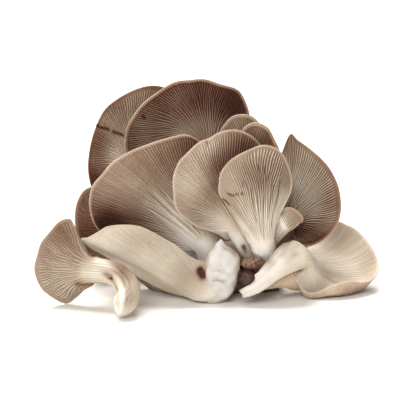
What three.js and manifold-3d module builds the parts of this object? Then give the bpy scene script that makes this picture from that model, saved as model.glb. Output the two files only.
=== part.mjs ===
// Oyster mushroom cluster: fan-shaped caps with gills on short side stems that grow from one
// torn base, and two broken-off mushrooms that lie against it.
// Millimetres, +Z up, the gills face -Y, everything rests on Z = 0.
import * as THREE from 'three';
import { mergeVertices } from 'three/addons/utils/BufferGeometryUtils.js';
import Module from 'manifold-3d';

const wasm = await Module();
wasm.setup();

const GAP = 0.35;                                  // left between pieces that touch
const CENTRE = new THREE.Vector3(0.2, -14.9, 0);   // brings the bounding box over the origin
const EDGE = 1.3;                                  // thickness of a cap at its margin
const EDGE_LEAST = 0.78;                           // and where the margin meets the stem
const SHORT_CAP = 0.35;                            // thickness of a short cap, as a share of its length
const GILL_HEIGHT = 1.1;
const GILL_SLOPE = 0.1;                            // most height of a gill for its length
const MARGIN_REACH = 0.3;                          // share of the way over which the margin bends
const MARGIN_LEAN = 0.6;                           // how far it levels out towards the cap's plane
const MARGIN_PARTS = 100;                          // into which the margin is cut to find its plane
const SLOPE_STEP = 0.01;                           // share of the way over which a slope is taken
const NECK_CLEAR = 2.5;                            // neck radii after which the skin follows the gills
const CROWN_RISE = 0.45;                           // of the middle of the top
const CROWN_RING = 0.5;                            // where the last ring stands, towards the middle
const SAME_PLACE = 1e-4;                           // corners this close are one
const STEM_SIDES = 12;
const STEM_RINGS = 5;
const SKIRT_RINGS = 7;

// Stations from the neck (0) to the margin (1), with the share of the gill height at each.
const GILL_ROWS = [[0, 0.3], [0.18, 0.8], [0.42, 1], [0.68, 1], [0.88, 0.75], [1, 0]];
const TOP_ROWS = [1, 0.85, 0.6, 0.35];

// stem: centre line from root to neck, as x, y, z and radius.
// rim: the cap's margin, clockwise as seen from the gills, starting behind the neck; a fourth
// number is how far the margin rolls in there, where it differs from curl.
// gills: how many ridges; lift: how steeply the cap leaves the neck; curl: how far the margin
// rolls in; flesh: thickness over the neck; flat: width of the neck across the cap; dome: how
// far the cap swells between neck and margin; pulls: places where the flesh swells, as x, y, z,
// reach and shift; belly: the same for the skin alone; skirt: skin that hangs from the stem.
const FANS = {
  mushroom_front: {
    colour: 0xc9b8a4, gills: 24, lift: 0.35, curl: 0.15, flesh: 4.5, flat: 0.8,
    stem: [[32.6, 9.4, 14.2, 5], [31.3, 3, 22, 5.8], [29, -2, 32, 7]],
    rim: [[29, 7, 32], [21, 1, 31], [16, -1, 40], [12, -1, 48], [8, -1, 55], [5, -1, 60], [5, 0, 65],
      [6, 1, 71], [12, 3, 78], [22, 5, 83], [30, 7, 85], [38, 7, 82], [43, 5, 74], [45, 3, 65],
      [42, 1, 56], [38, 0, 49], [36, 1, 39], [36, 4, 32]],
    ear: {
      gills: 10, lift: 0.3, curl: 0.2, flesh: 3,
      stem: [[32, 4, 24, 3], [34, 3, 29, 3], [36, 2, 33, 3]],
      rim: [[36, 6, 31], [34, 4, 36], [33, 2, 44], [36, 1, 48], [40, 1, 50], [44, 1, 51],
        [48, 1, 49], [51, 1, 46], [51, 1, 43], [48, 2, 41], [45, 2, 38], [42, 3, 35], [39, 5, 31]],
    },
  },
  mushroom_centre: {
    colour: 0xc4b3a1, gills: 28, lift: 0.3, curl: 0.25, flesh: 4.5, flat: 0.9,
    stem: [[26, 9, 16, 4.2], [20, 5.2, 26, 4.2], [14, 5.5, 38, 5]],
    rim: [[17, 12, 41], [11, 7, 31], [5, 2.5, 35], [-1, 0, 38.5], [-7, -1, 41], [-14, -1, 46],
      [-19, 0, 52], [-20, 1, 60], [-20, 2, 68], [-17, 4, 76], [-12, 6, 81], [-6, 9, 86],
      [0, 11, 88], [6, 13, 91], [14, 14, 92], [22, 15, 89], [28, 16, 83], [32, 17, 74],
      [31, 17, 63], [26, 16, 52], [21, 15, 44]],
  },
  mushroom_large_left: {
    colour: 0xb5a190, gills: 34, lift: 0.3, curl: 0.2, flesh: 5,
    stem: [[3, 13, 10, 8], [1.5, 12.5, 16, 8], [-0.5, 11.5, 23, 7]],
    rim: [[6, 17, 30], [6, 16, 12], [-4, 14.5, 5.5], [-18, 13.5, 4], [-32, 14, 5],
      [-45, 14, 12], [-54, 14, 22], [-60, 14, 31], [-65, 13, 39], [-67, 12, 47],
      [-67, 12, 54], [-65, 12, 61], [-60, 12, 67],
      [-54, 12, 74], [-44, 13, 80], [-33, 15, 84], [-22, 17, 87], [-13, 19, 88], [-6, 21, 84],
      [0, 22, 76], [3, 22, 65], [4, 21, 52], [5, 19, 41]],
  },
  mushroom_top: {
    colour: 0x8f7567, gills: 34, lift: 0.4, curl: 0.7, flesh: 5,
    stem: [[9, 27, 15, 5], [6, 34, 31, 5], [1, 38, 53, 5], [-1, 40, 74, 5.5]],
    rim: [[1, 51, 65], [-9, 48, 61], [-22, 45, 61], [-35, 42, 63], [-45, 39, 69], [-48, 38, 77],
      [-47, 37, 86], [-44, 37, 93], [-38, 38, 101], [-29, 39, 108], [-20, 41, 113],
      [-11, 43, 114], [-3, 45, 114], [6, 46, 111], [15, 47, 108], [19, 47, 103], [22, 47, 95],
      [23, 48, 86], [20, 50, 76], [12, 51, 69]],
  },
  mushroom_back_left: {
    colour: 0xa89080, gills: 30, lift: 0.4, curl: 0.4, flesh: 5,
    stem: [[0, 33, 16, 5], [-10, 43, 24, 5], [-24, 54, 39, 5], [-37, 57, 57, 5.5]],
    rim: [[-28, 69, 50], [-36, 67, 42], [-48, 63, 38], [-59, 59, 39], [-67, 57, 45],
      [-70, 56, 55], [-70, 56, 66], [-67, 57, 80], [-61, 58, 93], [-53, 59, 100],
      [-43, 61, 105], [-33, 63, 107], [-23, 66, 104], [-15, 69, 97], [-12, 71, 86],
      [-13, 72, 72], [-20, 71, 59]],
  },
  mushroom_small_upper: {
    colour: 0xb39a87, gills: 14, lift: 0.35, curl: 0.3, flesh: 3.5,
    stem: [[19, 30, 15, 4], [20, 33, 33, 3.6], [21, 34, 53, 3.4], [20, 33, 71, 3.2]],
    rim: [[22, 39, 67], [15, 36, 71], [8, 33, 78], [6, 31, 86], [9, 31, 92], [14, 32, 96],
      [22, 33, 96], [28, 34, 91], [32, 36, 83], [30, 38, 74], [27, 39, 69]],
  },
  mushroom_small_right: {
    colour: 0xa48a78, gills: 14, lift: 0.35, curl: 0.3, flesh: 3.5,
    stem: [[29, 26, 15, 4], [30, 27, 32, 3.6], [29, 26, 48, 3.4], [27, 24, 66, 3.2]],
    rim: [[28, 30, 62], [21, 26, 67], [17, 23, 75], [16, 22, 84], [19, 22, 91], [25, 23, 94],
      [32, 24, 91], [36, 25, 84], [39, 26, 77], [39, 28, 69], [35, 30, 63]],
  },
  mushroom_right: {
    colour: 0xa38a79, gills: 28, lift: 0.35, curl: 0.3, flesh: 5,
    stem: [[38, 15, 14, 5], [40, 18, 24, 5], [42, 19, 34, 5.5]],
    rim: [[38, 26, 31], [36, 28, 42], [36, 29, 54], [38, 30, 67], [41, 30, 77], [45, 30, 86],
      [49, 29, 83], [56, 28, 78], [63, 26, 72], [68, 23, 66], [72, 20, 57], [73, 16, 47],
      [71, 12, 39], [66, 9, 33], [58, 8, 28], [51, 10, 27], [45, 13, 29], [40, 20, 29]],
  },
  mushroom_lying_right: {
    colour: 0xd0c1b2, gills: 28, lift: 0.15, curl: 0.3, flesh: 6, dome: 0.28,
    pulls: [[47, -8, 26, 7, 0, -1.5, 1.5], [53, -5, 25, 7, 3, -3, 1], [16, -16, 9.5, 2, -1.2, 0, -0.5]],
    belly: [[64, -5, 5, 11, 0, -1.5, -2.2], [76, -2, 7, 9, 0, -1.5, -2.5]],
    stem: [[18, -16, 7, 2.4], [22, -15.7, 8.8, 3.4], [27.5, -14.5, 12.6, 4.6], [33, -12, 17.5, 5.6],
      [40, -8, 22.5, 7.6], [46.5, -2, 25, 8.8]],
    skirt: [[28, -8, 7.5, 0.6], [32, -7.5, 9, 2.4], [37, -6, 11.5, 4.6], [43, -3, 12, 5.8],
      [48.5, 4, 9, 6.5], [55, 11, 9, 6.5], [61, 16, 12, 3]],
    rim: [[41, 2, 15], [43, 8, 17], [48, 15, 20], [54, 25, 24], [61, 34, 29], [72, 38, 33], [79, 37, 31],
      [85, 35, 28], [92, 27, 21], [95, 18, 13], [92.5, 9, 9.5, 1], [88.5, 5, 7.7, 2],
      [83.5, 1, 8.5, 3], [77.5, -2, 10, 3.5], [72, -4, 9.5, 3.5], [66, -5, 7.6, 3],
      [60.5, -6, 5.3, 2], [56, -7, 4.7, 1.5], [53, -7.5, 6, 1], [50, -8, 9], [47, -8.5, 13],
      [44, -8, 16.5], [41, -3, 16]],
  },
  mushroom_folded: {
    colour: 0xd6c9ba, gills: 28, lift: 0.2, curl: 0.1, flesh: 5, dome: -0.05,
    pulls: [[-6, -9, 3, 8.5, 0, -3.5, -0.6]],
    belly: [[-12, 6, 4, 9, 0, 4, -2], [-26, 5, 7, 12, 0, 6, -7], [-38, 5, 12, 12, 0, 5, -9],
      [-50, 2, 20, 10, 0, 4, -4]],
    stem: [[10.5, -4, 9, 4], [9, -4.5, 9, 6.5], [6, -5.5, 9.6, 8.6], [1, -6, 10.3, 9.6],
      [-5, -6.4, 11.6, 10]],
    rim: [[-1, 2.5, 20], [1, -1, 3], [-7, -3.5, 1.2], [-15, -3, 1.2], [-24, -1.5, 3.2],
      [-32, 0.5, 6.4], [-40, 1, 11], [-50, 0, 18], [-60, -3, 25.5], [-66, -5, 29.5],
      [-71, -8, 35], [-67, -11, 37], [-61, -13, 41], [-56, -13, 44], [-47, -13, 45],
      [-38, -13, 44], [-30, -12, 40], [-24, -11, 36], [-19, -10.5, 33],
      [-15, -10, 29.5], [-11, -9.5, 26], [-6, -9, 23.5], [-1, -6, 22.5]],
  },
  mushroom_far_left: {
    colour: 0xbca68e, gills: 22, lift: 0.35, curl: 0.3, flesh: 5,
    stem: [[-47.5, -42, 3, 2.2], [-46.5, -38, 6.8, 6], [-43.7, -31, 12.6, 6.6], [-47.5, -25, 18.3, 6.5],
      [-55, -20.5, 20.6, 6.3], [-63, -17, 20.3, 7]],
    rim: [[-61, -9, 23], [-63, -12, 12], [-69, -14, 8], [-75, -14, 3], [-80, -14, 0.5],
      [-88, -17, 6], [-93, -18, 12], [-96, -17, 21], [-94, -15, 29], [-92, -13, 35],
      [-87, -11, 41], [-82, -9, 46], [-76, -8, 47], [-74, -6, 40], [-70, -5, 33], [-66, -6, 26]],
  },
  mushroom_hidden_left: {
    colour: 0x80685d, gills: 18, lift: 0.35, curl: 0.3, flesh: 4,
    stem: [[4, 26, 9, 4.5], [-14, 31, 11, 4.5], [-36, 34, 17, 4.5], [-54, 34, 27, 4.5]],
    rim: [[-50, 41, 26], [-51, 38, 11], [-58, 34, 4], [-67, 30, 9], [-74, 28, 22],
      [-76, 27, 32], [-76, 27, 42], [-74, 28, 49], [-70, 30, 54], [-63, 33, 55], [-56, 36, 51],
      [-50, 39, 43], [-48, 41, 34]],
  },
};

const vector = ([x, y, z]) => new THREE.Vector3(x, y, z);
const curveThrough = (points, closed) =>
  new THREE.CatmullRomCurve3(points.map(vector), closed, 'catmullrom');
const middleOf = (points) =>
  points.reduce((sum, p) => sum.add(p), new THREE.Vector3()).divideScalar(points.length);

// Twice the area that a closed line goes round, as a vector square to it.
function areaVector(points) {
  const sum = new THREE.Vector3();
  points.forEach((p, i) => sum.add(p.clone().cross(points[(i + 1) % points.length])));
  return sum.normalize();
}

// The smooth gill side of one cap, as a function of the share u of the way round the margin
// and the station v from the neck to the margin.
function gillSide(fan) {
  const rim = curveThrough(fan.rim, true);
  const curls = fan.rim.map((p) => p[3] ?? fan.curl);
  const top = areaVector(rim.getSpacedPoints(MARGIN_PARTS).slice(1));
  const [x, y, z, radius] = fan.stem.at(-1);
  const neck = new THREE.Vector3(x, y, z);
  const axis = neck.clone().sub(vector(fan.stem.at(-2))).normalize();
  const turn = new THREE.Quaternion().setFromUnitVectors(top, axis);
  const across = top.clone().addScaledVector(axis, -top.dot(axis)).normalize();
  const dome = fan.dome ?? 0;

  function around(u) {                     // from the neck's centre towards its own edge
    const out = rim.getPointAt(u).sub(neck);
    out.addScaledVector(top, -out.dot(top)).normalize().applyQuaternion(turn);
    return out.addScaledVector(across, -(1 - (fan.flat ?? 1)) * out.dot(across));
  }
  function curlAt(share) {
    const t = rim.getUtoTmapping(share) * curls.length;
    const i = Math.floor(t) % curls.length;
    return THREE.MathUtils.lerp(curls[i], curls[(i + 1) % curls.length], t - Math.floor(t));
  }
  function point(u, v) {
    const share = (u + 1) % 1;
    const end = rim.getPointAt(share);
    const start = neck.clone().addScaledVector(around(share), radius);
    const length = end.distanceTo(start);
    const out = end.clone().sub(neck);
    out.addScaledVector(top, -MARGIN_LEAN * out.dot(top)).normalize();
    const reach = out.addScaledVector(top, -curlAt(share)).normalize().multiplyScalar(MARGIN_REACH * length);
    const first = start.clone().addScaledVector(axis, fan.lift * length).addScaledVector(top, dome * length);
    const second = end.clone().sub(reach).addScaledVector(top, dome * length);
    return new THREE.CubicBezierCurve3(start, first, second, end).getPoint(v);
  }
  function normal(u, v) {                  // out of the flesh on the gill side
    const low = Math.max(0, v - SLOPE_STEP);
    const high = Math.min(1, v + SLOPE_STEP);
    const along = point(u, high).sub(point(u, low));
    return point(u + SLOPE_STEP, v).sub(point(u - SLOPE_STEP, v)).cross(along).normalize();
  }
  const length = (u) => point(u, 0).distanceTo(point(u, 1));
  function outwards(u, v) {                // towards the skin; steadier behind the neck
    const free = THREE.MathUtils.smoothstep(length(u), radius, NECK_CLEAR * radius);
    return normal(u, v).multiplyScalar(-free).addScaledVector(top, 1 - free).normalize();
  }
  return { point, normal, length, outwards, around, top, axis };
}

// Moves a point by the pulls near it, each as x, y, z, reach and shift.
function pulled(point, pulls = []) {
  for (const [x, y, z, reach, ...shift] of pulls) {
    const away = point.distanceTo(new THREE.Vector3(x, y, z)) / reach;
    point.addScaledVector(vector(shift), Math.exp(-away * away));
  }
  return point;
}

const aboveGround = (point) => point.setZ(Math.max(point.z, 0));

// Rings of the stem from its root up to just below the neck, each turned like the neck's own.
function stemRings(fan, side) {
  const line = curveThrough(fan.stem, false);
  const spokes = Array.from({ length: STEM_SIDES }, (_, i) => side.around(i / STEM_SIDES));
  const last = fan.stem.length - 1;
  const rings = [];
  let before = side.axis;
  for (let k = STEM_RINGS - 1; k >= 0; k -= 1) {
    const t = line.getUtoTmapping(k / STEM_RINGS);
    const along = line.getTangent(t);
    const turn = new THREE.Quaternion().setFromUnitVectors(before, along);
    spokes.forEach((spoke) => spoke.applyQuaternion(turn));
    before = along;
    const i = Math.min(Math.floor(t * last), last - 1);
    const radius = THREE.MathUtils.lerp(fan.stem[i][3], fan.stem[i + 1][3], t * last - i);
    const centre = line.getPoint(t);
    rings.unshift(spokes.map((spoke) => centre.clone().addScaledVector(spoke, radius)));
  }
  return rings;
}

// All rings of one mushroom, from the root, over the gills and the margin, to the top.
function mushroomRings(fan) {
  const side = gillSide(fan);
  const columns = 2 * fan.gills;
  const underside = GILL_ROWS.map(([v, share]) => Array.from({ length: columns }, (_, i) => {
    const u = i / columns;
    const height = i % 2 ? 0 : Math.min(GILL_HEIGHT, GILL_SLOPE * side.length(u)) * share;
    return side.point(u, v).addScaledVector(side.normal(u, v), height);
  }));
  const topside = TOP_ROWS.map((v) => Array.from({ length: fan.gills }, (_, i) => {
    const u = i / fan.gills;
    const full = EDGE + (fan.flesh - EDGE) * (1 - v);
    const thickness = Math.min(full, Math.max(SHORT_CAP * side.length(u), EDGE_LEAST));
    const place = side.point(u, v).addScaledVector(side.outwards(u, v), thickness);
    return v < 1 ? pulled(place, fan.belly) : place;
  }));
  const inner = topside.at(-1);
  const middle = middleOf(inner).addScaledVector(side.top, CROWN_RISE);
  const crown = inner.map((p) => p.clone().lerp(middle, CROWN_RING).addScaledVector(side.top, CROWN_RISE));
  const rings = [...stemRings(fan, side), ...underside, ...topside, crown, [middle]];
  return rings.map((ring) => ring.map((p) => aboveGround(pulled(p, fan.pulls))));
}

// A tapered round body along a line of points with radii.
function taper(line, count) {
  const curve = curveThrough(line, false);
  const last = line.length - 1;
  return Array.from({ length: count }, (_, k) => {
    const t = k / (count - 1);
    const along = curve.getTangent(t);
    const side = along.clone().cross(new THREE.Vector3(0, 0, 1)).normalize();
    const up = side.clone().cross(along);
    const i = Math.min(Math.floor(t * last), last - 1);
    const radius = THREE.MathUtils.lerp(line[i][3], line[i + 1][3], t * last - i);
    return Array.from({ length: STEM_SIDES }, (_, j) => {
      const angle = (-2 * Math.PI * j) / STEM_SIDES;
      return curve.getPoint(t).addScaledVector(side, radius * Math.cos(angle))
        .addScaledVector(up, radius * Math.sin(angle));
    });
  });
}

// A closed solid from rings that may differ in their number of points, as triangles between
// neighbours. A first or last ring of one point is a tip; any other end is closed flat.
function loft(rings) {
  const all = [...rings];
  if (all[0].length > 1) all.unshift([middleOf(all[0])]);
  if (all.at(-1).length > 1) all.push([middleOf(all.at(-1))]);
  const points = all.flat();
  const triangles = [];
  let start = 0;
  for (let k = 0; k + 1 < all.length; k += 1) {
    const [na, nb] = [all[k].length, all[k + 1].length];
    const a = (i) => start + (i % na);
    const b = (j) => start + na + (j % nb);
    let [i, j] = [0, 0];
    while (i < na || j < nb) {
      const step = j >= nb || (i < na && (i + 1) / na <= (j + 1) / nb);
      if (step && na > 1) triangles.push(a(i), a(i + 1), b(j));
      if (!step && nb > 1) triangles.push(a(i), b(j + 1), b(j));
      if (step) i += 1;
      else j += 1;
    }
    start += na;
  }
  return new wasm.Manifold(new wasm.Mesh({
    numProp: 3,
    vertProperties: new Float32Array(points.flatMap((p) => p.toArray())),
    triVerts: new Uint32Array(triangles),
  }));
}

const volumeOrder = (a, b) => b.volume() - a.volume();

// The torn base: a low stump that the stems rise from, and the white lobe in front of it.
// Each section is a closed outline at one height; grow makes the whole base larger all round.
const STUMP_OUTLINE = [[-4, 7], [-8, 16], [-6, 28], [4, 36], [20, 38], [34, 34], [41, 26], [41, 15],
  [36, 8], [24, 6], [10, 5]];
const STUMP_CENTRE = [18, 21];
const STUMP_PROFILE = [[0, 0.93], [6, 1], [14, 0.98], [20, 0.88], [24, 0.6]];   // height, scale
const STUMP_TOP = 25.5;
const LOBE_SECTIONS = [
  [0, [[-2, -5], [0, 6], [8, 6], [8, -5], [6, -10.5], [1.5, -13], [-1, -11.5]]],
  [3, [[-3, -5], [0, 8], [11, 7], [11, -6.5], [9, -12.5], [3, -16], [-1, -14.5]]],
  [6.5, [[-3, -5], [0, 10], [13, 8], [13.5, -6.5], [11, -14], [4, -18], [-1.5, -17]]],
  [13, [[-2, -5], [2, 10], [14, 6], [15.5, -7], [12, -14], [4, -18], [-1.5, -16.5]]],
  [20, [[-2, -4], [4, 9], [15, 4], [16.5, -7], [13, -14], [5, -17.5], [-1.5, -14.5]]],
  [26, [[-1, -5], [5, 5], [13, 1], [15.5, -7], [12, -12.5], [5, -15], [-1, -12]]],
  [31, [[2, -6], [5, -1], [8, -3], [10, -7], [8, -10], [5, -12], [2, -9.5]]],
];
const LOBE_PEAK = [6, -8, 35.5];
const LOBE_HEART = [6, -6];                        // the lobe grows away from here
// Flat faces torn on the front of the lobe: a place on each, and the way it faces.
const LOBE_FACES = [[[2, -16, 21], [-0.4, -0.9, 0.15]], [[10, -15.2, 20], [0.32, -0.93, 0.15]],
  [[4, -15.6, 7], [0, -0.95, -0.3]]];
const OUTLINE_SIDES = 20;

function outlineRing(outline, height, scale, centre, grow) {
  const [cx, cy] = centre;
  const scaled = outline.map(([x, y]) => [cx + (x - cx) * scale, cy + (y - cy) * scale, height]);
  const line = curveThrough(scaled, true);
  const ring = line.getSpacedPoints(OUTLINE_SIDES).slice(1).reverse();
  return ring.map((p) => {
    const out = new THREE.Vector3(p.x - cx, p.y - cy, 0).normalize();
    return p.addScaledVector(out, grow);
  });
}

function baseSolid(grow = 0) {
  const at = (z) => (z > 0 ? z + grow : -grow);
  const stump = STUMP_PROFILE.map(([z, scale]) =>
    outlineRing(STUMP_OUTLINE, at(z), scale, STUMP_CENTRE, grow));
  stump.push([new THREE.Vector3(...STUMP_CENTRE, STUMP_TOP + grow)]);
  const lobe = LOBE_SECTIONS.map(([z, outline]) => outlineRing(outline, at(z), 1, LOBE_HEART, grow));
  lobe.push([vector(LOBE_PEAK).add(new THREE.Vector3(0, 0, grow))]);
  let torn = loft(lobe);
  for (const [place, facing] of LOBE_FACES) {
    const inwards = vector(facing).normalize().negate();
    torn = torn.trimByPlane(inwards.toArray(), inwards.dot(vector(place)) - grow);
  }
  return loft(stump).add(torn);
}

// The two closed young caps, egg-shaped on tilted axes, each on a short stem.
const YOUNG_CAPS = {
  young_cap_upper: {
    centre: [23.6, -7, 21.5], size: [6.8, 4.5, 3.3], tilt: 0.25, colour: 0x5b4643,
    stem: [[23, -6, 20.4, 2.2], [18.5, 0, 18.4, 2.4], [15, 6, 16, 2.6]],
  },
  young_cap_lower: {
    centre: [21.2, -8.4, 12.9], size: [5.7, 5.6, 5.1], tilt: 0.3, colour: 0x5d463c,
    stem: [[20, -6, 11.6, 2.2], [17, -4, 11.2, 2.4], [14.6, -2.6, 11, 2.4]],
  },
};
const YOUNG_SIDES = 16;
const YOUNG_ROWS = 9;
const YOUNG_STEM_RINGS = 4;

function youngCap({ centre, size, tilt, stem }) {
  const ball = new THREE.SphereGeometry(1, YOUNG_SIDES, YOUNG_ROWS);
  ball.scale(...size).rotateX(tilt).translate(...centre);
  return fromGeometry(ball).add(loft(taper(stem, YOUNG_STEM_RINGS)));
}

function fromGeometry(geometry) {
  geometry.deleteAttribute('normal');
  geometry.deleteAttribute('uv');
  const merged = mergeVertices(geometry, SAME_PLACE);
  return new wasm.Manifold(new wasm.Mesh({
    numProp: 3,
    vertProperties: new Float32Array(merged.attributes.position.array),
    triVerts: new Uint32Array(merged.index.array),
  }));
}

function toMesh(name, solid, material) {
  const { numProp, vertProperties, triVerts } = solid.getMesh();
  const geometry = new THREE.BufferGeometry();
  const points = new THREE.InterleavedBuffer(vertProperties, numProp);
  geometry.setAttribute('position', new THREE.InterleavedBufferAttribute(points, 3, 0));
  geometry.setIndex(new THREE.BufferAttribute(triVerts, 1));
  geometry.computeVertexNormals();
  const mesh = new THREE.Mesh(geometry, material);
  mesh.name = name;
  mesh.position.copy(CENTRE);
  return mesh;
}

const fleshMaterial = (color) => new THREE.MeshStandardMaterial({ color, roughness: 0.8, metalness: 0 });
const largest = (solid) => solid.decompose().sort(volumeOrder)[0];
const cluster = new THREE.Group();
const base = baseSolid();
const clearance = baseSolid(GAP);
const solids = { stem_base: base };
const colours = { stem_base: 0xe4ded6 };
for (const [name, fan] of Object.entries(FANS)) {
  let whole = loft(mushroomRings(fan));
  if (fan.ear) whole = whole.add(loft(mushroomRings(fan.ear)));
  if (fan.skirt) whole = whole.add(loft(taper(fan.skirt, SKIRT_RINGS)));
  solids[name] = largest(whole.subtract(clearance));
  colours[name] = fan.colour;
}
for (const [name, cap] of Object.entries(YOUNG_CAPS)) {
  solids[name] = largest(youngCap(cap).subtract(clearance));
  colours[name] = cap.colour;
}
for (const [name, solid] of Object.entries(solids)) {
  cluster.add(toMesh(name, solid, fleshMaterial(colours[name])));
}

export default cluster;
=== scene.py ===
import math

import bmesh
import bpy
import numpy as np
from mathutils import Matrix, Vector


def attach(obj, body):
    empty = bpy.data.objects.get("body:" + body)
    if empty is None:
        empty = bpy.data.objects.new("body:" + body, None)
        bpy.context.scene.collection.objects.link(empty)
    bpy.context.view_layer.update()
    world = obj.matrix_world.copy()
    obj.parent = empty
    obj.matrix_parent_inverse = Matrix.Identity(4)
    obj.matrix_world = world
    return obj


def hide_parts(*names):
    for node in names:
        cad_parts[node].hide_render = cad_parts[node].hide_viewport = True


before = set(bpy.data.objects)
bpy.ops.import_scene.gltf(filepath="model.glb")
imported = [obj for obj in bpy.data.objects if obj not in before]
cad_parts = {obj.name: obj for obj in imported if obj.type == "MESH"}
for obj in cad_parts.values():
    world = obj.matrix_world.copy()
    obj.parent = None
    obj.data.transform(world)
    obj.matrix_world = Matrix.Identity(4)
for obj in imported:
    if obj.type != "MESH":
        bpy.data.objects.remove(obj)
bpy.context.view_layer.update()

MM = 0.001
CENTRE = np.array([0.2, -14.9, 0.0])  # from the outlines' own origin to the frame's, in mm
TAU = 2 * math.pi

# ------------ camera and light
# Places and sizes here are in metres.
TARGET = (*(CENTRE[:2] * MM), 0.05)
DISTANCE = 1.0
LOOK_DOWN = math.radians(15)
VIEW_WIDTH = 0.231  # seen across the picture at the target
SENSOR = 36.0
FAR_END = 20.0
SKY_COLOUR = (0.97, 0.985, 1.0, 1)
SKY_STRENGTH = 0.24
WHITE = (1, 1, 1, 1)
OVERHEAD_STRENGTH = 4.9
OVERHEAD_WIDTH = math.radians(45)  # wide, for soft shadows
OVERHEAD_TURN = (math.radians(-24), math.radians(-10), 0)
FRONT_PLACE = (-0.35, -0.95, 0.8)
FRONT_AIM = (0, 0, 0.04)
FRONT_SIZE = 0.8
FRONT_POWER = 9.3


def link(thing):
    bpy.context.scene.collection.objects.link(thing)
    return thing


def add_camera():
    data = bpy.data.cameras.new("camera")
    data.sensor_width = SENSOR
    data.lens = SENSOR * DISTANCE / VIEW_WIDTH
    data.clip_end = FAR_END
    camera = link(bpy.data.objects.new("camera", data))
    x, y, z = TARGET
    camera.location = (x, y - DISTANCE * math.cos(LOOK_DOWN), z + DISTANCE * math.sin(LOOK_DOWN))
    camera.rotation_euler = (math.pi / 2 - LOOK_DOWN, 0, 0)
    bpy.context.scene.camera = camera


def add_sky():
    """Soft light from all round, in front of a plain white backdrop."""
    world = bpy.data.worlds.new("white studio")
    world.use_nodes = True
    nodes, links = world.node_tree.nodes, world.node_tree.links
    light = nodes["Background"]
    light.inputs["Color"].default_value = SKY_COLOUR
    light.inputs["Strength"].default_value = SKY_STRENGTH
    backdrop = nodes.new("ShaderNodeBackground")
    backdrop.inputs["Color"].default_value = WHITE
    seen = nodes.new("ShaderNodeLightPath")
    either = nodes.new("ShaderNodeMixShader")
    links.new(seen.outputs["Is Camera Ray"], either.inputs[0])
    links.new(light.outputs[0], either.inputs[1])
    links.new(backdrop.outputs[0], either.inputs[2])
    links.new(either.outputs[0], nodes["World Output"].inputs["Surface"])
    bpy.context.scene.world = world
    bpy.context.scene.view_settings.view_transform = "Standard"


def add_overhead_light():
    data = bpy.data.lights.new("overhead", "SUN")
    data.energy = OVERHEAD_STRENGTH
    data.angle = OVERHEAD_WIDTH
    overhead = link(bpy.data.objects.new("overhead", data))
    overhead.rotation_euler = OVERHEAD_TURN


def add_front_light():
    data = bpy.data.lights.new("front", "AREA")
    data.shape = "SQUARE"
    data.size = FRONT_SIZE
    data.energy = FRONT_POWER
    lamp = link(bpy.data.objects.new("front", data))
    lamp.location = FRONT_PLACE
    lamp.rotation_euler = (Vector(FRONT_AIM) - lamp.location).to_track_quat("-Z", "Y").to_euler()


# ------------ shader maths
MIX_SHARE, MIX_FIRST, MIX_SECOND, MIX_RESULT = 0, 6, 7, 2  # the colour sockets of a Mix node


def linear(red, green, blue):
    """A colour as it is seen, 0 to 255, as the shader's own numbers."""
    def one(share):
        share /= 255
        return share / 12.92 if share <= 0.04045 else ((share + 0.055) / 1.055) ** 2.4
    return one(red), one(green), one(blue), 1.0


class Wire:
    """One output of a shader node, with sums written as ordinary Python."""

    def __init__(self, finish, socket):
        self.finish = finish
        self.socket = socket

    def __add__(self, other):
        return self.finish.maths("ADD", self, other)

    __radd__ = __add__

    def __sub__(self, other):
        return self.finish.maths("SUBTRACT", self, other)

    def __rsub__(self, other):
        return self.finish.maths("SUBTRACT", other, self)

    def __mul__(self, other):
        return self.finish.maths("MULTIPLY", self, other)

    __rmul__ = __mul__


class Finish:
    """The nodes of one material."""

    def __init__(self, name):
        self.material = bpy.data.materials.new(name)
        self.material.use_nodes = True
        self.tree = self.material.node_tree
        self.shader = self.tree.nodes["Principled BSDF"]

    def connect(self, value, socket):
        if isinstance(value, Wire):
            self.tree.links.new(value.socket, socket)
        else:
            socket.default_value = value

    def node(self, kind, settings=None, inputs=None, output=0):
        made = self.tree.nodes.new(kind)
        for key, value in (settings or {}).items():
            if key == "stops":
                self.set_stops(made.color_ramp, value)
            else:
                setattr(made, key, value)
        for key, value in (inputs or {}).items():
            self.connect(value, made.inputs[key])
        return Wire(self, made.outputs[output])

    def set_stops(self, ramp, stops):
        while len(ramp.elements) < len(stops):
            ramp.elements.new(1.0)
        for element, (at, colour) in zip(ramp.elements, stops):
            element.position = at
            element.color = colour

    def maths(self, operation, *values):
        return self.node("ShaderNodeMath", {"operation": operation}, dict(enumerate(values)))

    def limit(self, value):
        """Kept between 0 and 1."""
        return self.node("ShaderNodeMath", {"operation": "ADD", "use_clamp": True}, {0: value, 1: 0.0})

    def fact(self, name, output="Fac"):
        return self.node("ShaderNodeAttribute", {"attribute_name": name}, output=output)

    def ramp(self, value, stops):
        return self.node("ShaderNodeValToRGB", {"stops": stops}, {0: value})

    def mix(self, share, first, second, blend="MIX"):
        return self.node("ShaderNodeMix", {"data_type": "RGBA", "blend_type": blend},
                         {MIX_SHARE: share, MIX_FIRST: first, MIX_SECOND: second}, MIX_RESULT)

    def stretch(self, vector, scale):
        return self.node("ShaderNodeVectorMath", {"operation": "MULTIPLY"}, {0: vector, 1: scale})

    def noise(self, vector, scale):
        return self.node("ShaderNodeTexNoise", None,
                         {"Vector": vector, "Scale": scale, "Detail": 3.0, "Roughness": 0.5})

    def place(self):
        return self.node("ShaderNodeTexCoord", output="Object")

    def bump(self, height, distance):
        return self.node("ShaderNodeBump", None,
                         {"Height": height, "Distance": distance, "Strength": 0.5})

    def give(self, **sockets):
        for name, value in sockets.items():
            self.connect(value, self.shader.inputs[name.replace("_", " ")])
        return self.material


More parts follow.
